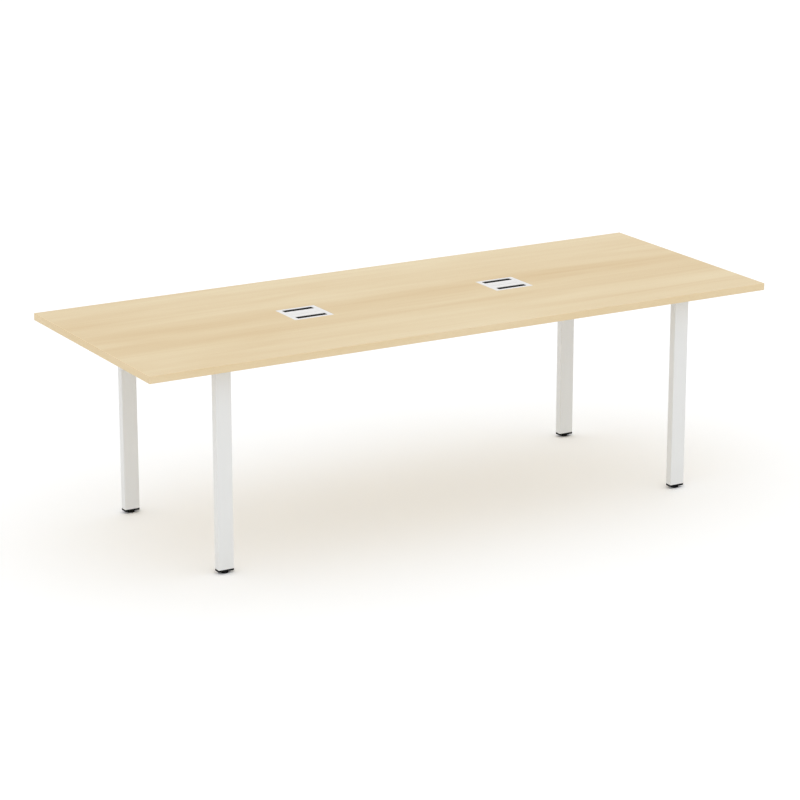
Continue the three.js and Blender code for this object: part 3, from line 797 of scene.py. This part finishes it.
PLATE_CORNER = 3.0
PLATE_DEPTH = 2.0
LIP_DEPTH = 1.0
LIP_ARRIS = 0.4
OPENING_HALF = np.array([57.0, 60.0])
OPENING_CORNER = 1.0
POCKET_HALF = np.array([57.05, 65.0])
COLLAR_WALL = np.array([3.95, 2.0])
COLLAR_CORNER = 1.5
SPINE_HALF = np.array([4.0, 5.0])
SPINE_CORNER = 0.4
LEDGE_MIDDLE, LEDGE_HALF = np.array([63.2, -6.0]), np.array([2.2, 1.5])
STOP_MIDDLE, STOP_HALF = np.array([31.0, -5.3]), np.array([4.0, 2.0])
STOP_FROM, STOP_TO = 54.0, 57.5
SMALL_CORNER = 0.3
BARREL = 3.5
BARREL_BORE = 1.4
BARREL_SIDES = 40
LID_THICKNESS = 3.0
LID_ROOT = np.array([(0.3, 3.5), (0.3, 1.9), (1.9, 0.5)])
LID_EASE = 0.35
BACKING_MIDDLE, BACKING_HALF = np.array([62.4, -2.7]), np.array([2.1, 1.5])
STRAND_ROOT, STRAND_TIP = 61.0, 36.7
STRAND_LEVELS = np.array([-1.46, -1.75, -2.04, -2.33, -2.62])
STRAND_STAGGER = np.array([0.1, 0.5, 0.9, 0.3, 0.7])
STRAND_RISE = 0.7
STRAND_SIDES = 5
STRAND_RINGS = 4
STRAND_TAPER = 0.85
STRAND_SWAY = 0.18
STRAND_SHORT = 1.0
STRAND_SEED = 11
CLIP_BEND = 1.0
CLIP_THICKNESS = 2.0
CLIP_EASE = 0.3
CLIP_SCREWS = (-15.0, 15.0)
CLIP_SCREW_DROP = 8.5
CLIP_SCREW_SIZE = 0.75
CLIP_SCREW_LENGTH = 5.5


def plate_surface(half, depth, arris):
    """Port's plate and collar as one ring: up the collar's outside, out under the plate, over its rounded
    outer and inner upper edges, under the lip into the pocket, and down the collar's inside."""
    collar = rounded_outline(*(POCKET_HALF + COLLAR_WALL), COLLAR_CORNER)
    pocket = rounded_outline(*POCKET_HALF, OPENING_CORNER)
    outer_edge = [
        (rounded_outline(*(half - inset), PLATE_CORNER - inset), -drop)
        for inset, drop in arc(arris, arris, arris, -2 * QUARTER, -QUARTER)
    ]
    inner_edge = [
        (rounded_outline(*(OPENING_HALF + widening), OPENING_CORNER + widening), -drop)
        for widening, drop in arc(LIP_ARRIS, LIP_ARRIS, LIP_ARRIS, -QUARTER, -2 * QUARTER)
    ]
    return rings(
        (collar, -depth), (collar, -PLATE_DEPTH), (rounded_outline(*half, PLATE_CORNER), -PLATE_DEPTH),
        *outer_edge, *inner_edge, (rounded_outline(*OPENING_HALF, OPENING_CORNER), -LIP_DEPTH),
        (pocket, -LIP_DEPTH), (pocket, -depth))


def bar_surface(half, corner, middle, start, end):
    """Bar with rounded edges along c, from start to end, with its section about the given middle."""
    outline = rounded_outline(*half, corner, middle)
    return rings((outline, start), (outline, end))


def lid_surfaces(reach, half_length):
    """Flap about its hinge axis: a bored barrel, and a flat plate that grows out of the barrel's top."""
    circle = np.column_stack([np.cos(full_turn(BARREL_SIDES)), np.sin(full_turn(BARREL_SIDES))])
    outer, bore = BARREL * circle, BARREL_BORE * circle
    barrel = rings((outer, -half_length), (outer, half_length), (bore, half_length), (bore, -half_length))
    plate = np.vstack([LID_ROOT, [(reach, BARREL - LID_THICKNESS), (reach, BARREL)]])
    return [(barrel, True), (rings((plate, -half_length), (plate, half_length)), False)]


def strand_surfaces(count, radius, half_length, seed):
    """Bristles of a brush, in layers, each staggered by its own share of a step. Each bristle is a thin
    tapered tube: from root to tip it sways by a random reach times the square of the way along, and rises by
    the sine of the way along."""
    chance = np.random.default_rng(seed)
    first = radius - half_length
    start = np.linspace(first, -first, count, endpoint=False) - 2 * first / count * STRAND_STAGGER[:, None]
    sway = chance.uniform(-STRAND_SWAY, STRAND_SWAY, start.shape)
    tip = STRAND_TIP + chance.uniform(0, STRAND_SHORT, start.shape)
    level = STRAND_LEVELS[:, None] + np.zeros_like(start)
    way = np.linspace(0, 1, STRAND_RINGS)[:, None]
    turn = full_turn(STRAND_SIDES)
    thick = radius * (1 - (1 - STRAND_TAPER) * way)
    start, sway, tip, level = (value[..., None, None] for value in (start, sway, tip, level))
    along = start + sway * way ** 2 + thick * np.cos(turn)
    out = STRAND_ROOT + (tip - STRAND_ROOT) * way + np.zeros_like(along)
    height = level + STRAND_RISE * np.sin(QUARTER * way) + thick * np.sin(turn)
    return np.stack([along, out, height], axis=-1)


class TablePorts(bpy.types.Operator):
    """Fit the two cable ports with plate, flaps, brushes, pins and clips"""

    bl_idname = "conference_table.ports"
    bl_label = "Cable ports"

    def execute(self, context):
        look = context.scene.table_ports
        white, black, zinc = white_moulding(look), drawn_nylon(look), bright_zinc(context.scene.table_frame)
        seed = STRAND_SEED
        for port in ("port_left", "port_right"):
            middle, half = extent(f"{port}_bezel")
            top = middle + half * Z
            self.plate(port, top, half, white, look.arris / MM)
            for side in ("front", "rear"):
                dress(f"{port}_hinge_pin_{side}", zinc)
                self.lid(port, side, top, white)
                self.brush(port, side, top, black, look, seed)
                seed += 1
            for side in ("left", "right"):
                self.clip(port, side, zinc)
        return {"FINISHED"}

    def plate(self, port, top, half, white, arris):
        """Plate with its collar, the spine between the flaps, ledges for brushes and stops for flaps."""
        surfaces = [(placed(plate_surface(half[:2], 2 * half[2], arris), top), True)]
        reach = POCKET_HALF[0]
        spine = bar_surface(SPINE_HALF, SPINE_CORNER, (0, -SPINE_HALF[1]), -reach, reach)
        surfaces.append((placed(spine, top, Y, Z), False))
        for outward in (-Y, Y):
            ledge = bar_surface(LEDGE_HALF, SMALL_CORNER, LEDGE_MIDDLE, -reach, reach)
            surfaces.append((placed(ledge, top, outward, Z), False))
            for ends in ((STOP_FROM, STOP_TO), (-STOP_TO, -STOP_FROM)):
                stop = bar_surface(STOP_HALF, SMALL_CORNER, STOP_MIDDLE, *ends)
                surfaces.append((placed(stop, top, outward, Z), False))
        add_piece(f"cable_{port}_plate", surfaces, white, "table", f"{port}_bezel")

    def lid(self, port, side, top, white):
        """One flap, on its own hinge."""
        outward = OUTWARD[side]
        middle, half = extent(f"{port}_flap_{side}")
        reach = 2 * half[1] - BARREL
        hinge = middle - outward * (half[1] - BARREL)
        hinge[2] = top[2] - BARREL
        surfaces = [
            (placed(surface, hinge, outward, Z), closed) for surface, closed in lid_surfaces(reach, half[0])
        ]
        add_piece(
            f"cable_{port}_lid_{side}", surfaces, white, f"{port}_flap_{side}",
            f"{port}_flap_{side}", LID_EASE)

    def brush(self, port, side, top, black, look, seed):
        """Brush that closes a slot: bristles in a backing under the lip."""
        outward = OUTWARD[side]
        half_length = extent(f"{port}_brush_{side}")[1][0]
        along = np.cross(outward, Z)
        backing = bar_surface(BACKING_HALF, SMALL_CORNER, BACKING_MIDDLE, -half_length, half_length)
        strands = strand_surfaces(look.strands, look.strand_radius / MM, half_length, seed)
        surfaces = [(placed(backing, top, outward, Z), False), (placed(strands, top, along, outward), False)]
        add_piece(
            f"cable_{port}_bristles_{side}", surfaces, black, "table",
            f"{port}_brush_{side}")

    def clip(self, port, side, zinc):
        """Steel clip on the collar that hooks under the board, with its two screws."""
        outward = OUTWARD[side]
        middle, half = extent(f"{port}_clamp_{side}")
        bend = middle - outward * half[0] + half * Z
        outline = angle_outline(2 * half[0], 2 * half[2], CLIP_THICKNESS, CLIP_BEND)
        clip = rings((outline, -half[1]), (outline, half[1]))
        add_piece(
            f"cable_{port}_clip_{side}", [(placed(clip, bend, outward, -Z), False)], zinc, "table",
            f"{port}_clamp_{side}", CLIP_EASE)
        screw = screw_surface(CLIP_SCREW_SIZE, CLIP_SCREW_LENGTH)
        seat = bend + outward * CLIP_THICKNESS - CLIP_SCREW_DROP * Z
        screws = [(placed(screw, seat + place * Y, *facing(outward)), False) for place in CLIP_SCREWS]
        add_piece(f"cable_{port}_clip_screws_{side}", screws, zinc, "table")


# Floor, light and camera, in metres

FLOOR_HALF = 60.0
CLIP_END = 300.0


def seen_directly(tree):
    """One for camera, mirror and clear rays, none for rays that only carry light; and the kinds of ray."""
    path = add_node(tree, "ShaderNodeLightPath").outputs
    seen = path["Is Camera Ray"]
    for kind in ("Is Glossy Ray", "Is Transmission Ray"):
        either = add_node(tree, "ShaderNodeMath", {0: seen, 1: path[kind]}, operation="MAXIMUM")
        seen = either.outputs["Value"]
    return seen, path


def white_room(look):
    """White room: its light grows from the walls to the ceiling with the height of the ray's direction.
    Camera, mirror and clear rays see it plain white."""
    room = bpy.data.worlds.new("white room")
    room.use_nodes = True
    tree = room.node_tree
    tree.nodes.clear()
    direction = add_node(tree, "ShaderNodeTexCoord").outputs["Generated"]
    height = add_node(tree, "ShaderNodeSeparateXYZ", {"Vector": direction}).outputs["Z"]
    light = add_node(
        tree, "ShaderNodeMapRange",
        {"Value": height, "From Min": 0.0, "From Max": 1.0, "To Min": look.horizon_light,
         "To Max": look.overhead_light})
    seen = seen_directly(tree)[0]
    strength = add_node(
        tree, "ShaderNodeMix", {"Factor": seen, "A": light.outputs["Result"], "B": 1.0}, data_type="FLOAT")
    shader = add_node(
        tree, "ShaderNodeBackground",
        {"Color": linear("#FFFFFF"), "Strength": strength.outputs["Result"]})
    add_node(tree, "ShaderNodeOutputWorld", {"Surface": shader.outputs["Background"]})
    return room


def floor_finish(look):
    """Pale painted floor, matt. Camera, mirror and clear rays see it brighter, so that it is white wherever
    no shade falls. From below it lets the camera through to the underside of the table."""
    finish, tree = begin_finish("pale floor, matt paint")
    seen, path = seen_directly(tree)
    bright = tuple(look.backdrop * np.array(look.floor_seen))
    colour = add_node(
        tree, "ShaderNodeMix", {MIX_FACTOR: seen, MIX_FIRST: look.floor, MIX_SECOND: bright},
        data_type="RGBA")
    matt = add_node(tree, "ShaderNodeBsdfDiffuse", {"Color": colour.outputs[MIX_RESULT]})
    below = add_node(
        tree, "ShaderNodeMath",
        {0: add_node(tree, "ShaderNodeNewGeometry").outputs["Backfacing"], 1: path["Is Camera Ray"]},
        operation="MULTIPLY")
    clear = add_node(tree, "ShaderNodeBsdfTransparent")
    surface = add_node(
        tree, "ShaderNodeMixShader",
        {0: below.outputs["Value"], 1: matt.outputs["BSDF"], 2: clear.outputs["BSDF"]})
    add_node(tree, "ShaderNodeOutputMaterial", {"Surface": surface.outputs["Shader"]})
    return finish


class TableStage(bpy.types.Operator):
    """Lay the floor, light the room and set the camera"""

    bl_idname = "conference_table.stage"
    bl_label = "Floor, light and camera"

    def execute(self, context):
        look = context.scene.table_stage
        corners = FLOOR_HALF * np.array([(-1, -1, 0), (1, -1, 0), (1, 1, 0), (-1, 1, 0)])
        mesh = bpy.data.meshes.new("floor")
        mesh.from_pydata(corners.tolist(), [], [(0, 1, 2, 3)])
        mesh.materials.append(floor_finish(look))
        floor = bpy.data.objects.new("floor", mesh)
        context.scene.collection.objects.link(floor)
        context.scene.world = white_room(look)
        lens = bpy.data.cameras.new("camera")
        lens.lens = look.lens
        lens.clip_end = CLIP_END
        camera = bpy.data.objects.new("camera", lens)
        camera.location = look.camera_place
        camera.rotation_euler = (QUARTER - look.camera_tilt, 0, -look.camera_turn)
        context.scene.collection.objects.link(camera)
        bpy.context.scene.camera = camera
        context.scene.view_settings.view_transform = "Standard"
        return {"FINISHED"}


class TablePanel(bpy.types.Panel):
    """Lists the table's groups of pieces with their sizes and colours."""

    bl_idname = "VIEW3D_PT_conference_table"
    bl_label = "Conference table"
    bl_space_type = "VIEW_3D"
    bl_region_type = "UI"
    bl_category = "Table"

    def draw(self, context):
        for operator, group in STEPS.items():
            box = self.layout.box()
            box.operator(operator)
            settings = getattr(context.scene, group)
            for name in type(settings).__annotations__:
                box.prop(settings, name)


# Order of making, with the settings that the panel shows for each step
STEPS = {
    "conference_table.stage": "table_stage",
    "conference_table.board": "table_board",
    "conference_table.legs": "table_feet",
    "conference_table.underframe": "table_frame",
    "conference_table.ports": "table_ports",
}
SETTINGS = {
    "table_board": BoardSettings, "table_frame": FrameSettings, "table_feet": FootSettings,
    "table_ports": PortSettings, "table_stage": StageSettings,
}
CLASSES = (*SETTINGS.values(), TableBoard, TableLegs, TableUnderframe, TablePorts, TableStage, TablePanel)


def register():
    """Adds the classes, and the settings to the scene."""
    for entry in CLASSES:
        bpy.utils.register_class(entry)
    for name, group in SETTINGS.items():
        setattr(bpy.types.Scene, name, PointerProperty(type=group))


def unregister():
    """Takes the settings and the classes away again."""
    for name in SETTINGS:
        delattr(bpy.types.Scene, name)
    for entry in reversed(CLASSES):
        bpy.utils.unregister_class(entry)


def main():
    register()
    bpy.ops.conference_table.stage()
    bpy.ops.conference_table.board()
    bpy.ops.conference_table.legs()
    bpy.ops.conference_table.underframe()
    bpy.ops.conference_table.ports()


if __name__ == "__main__":
    main()
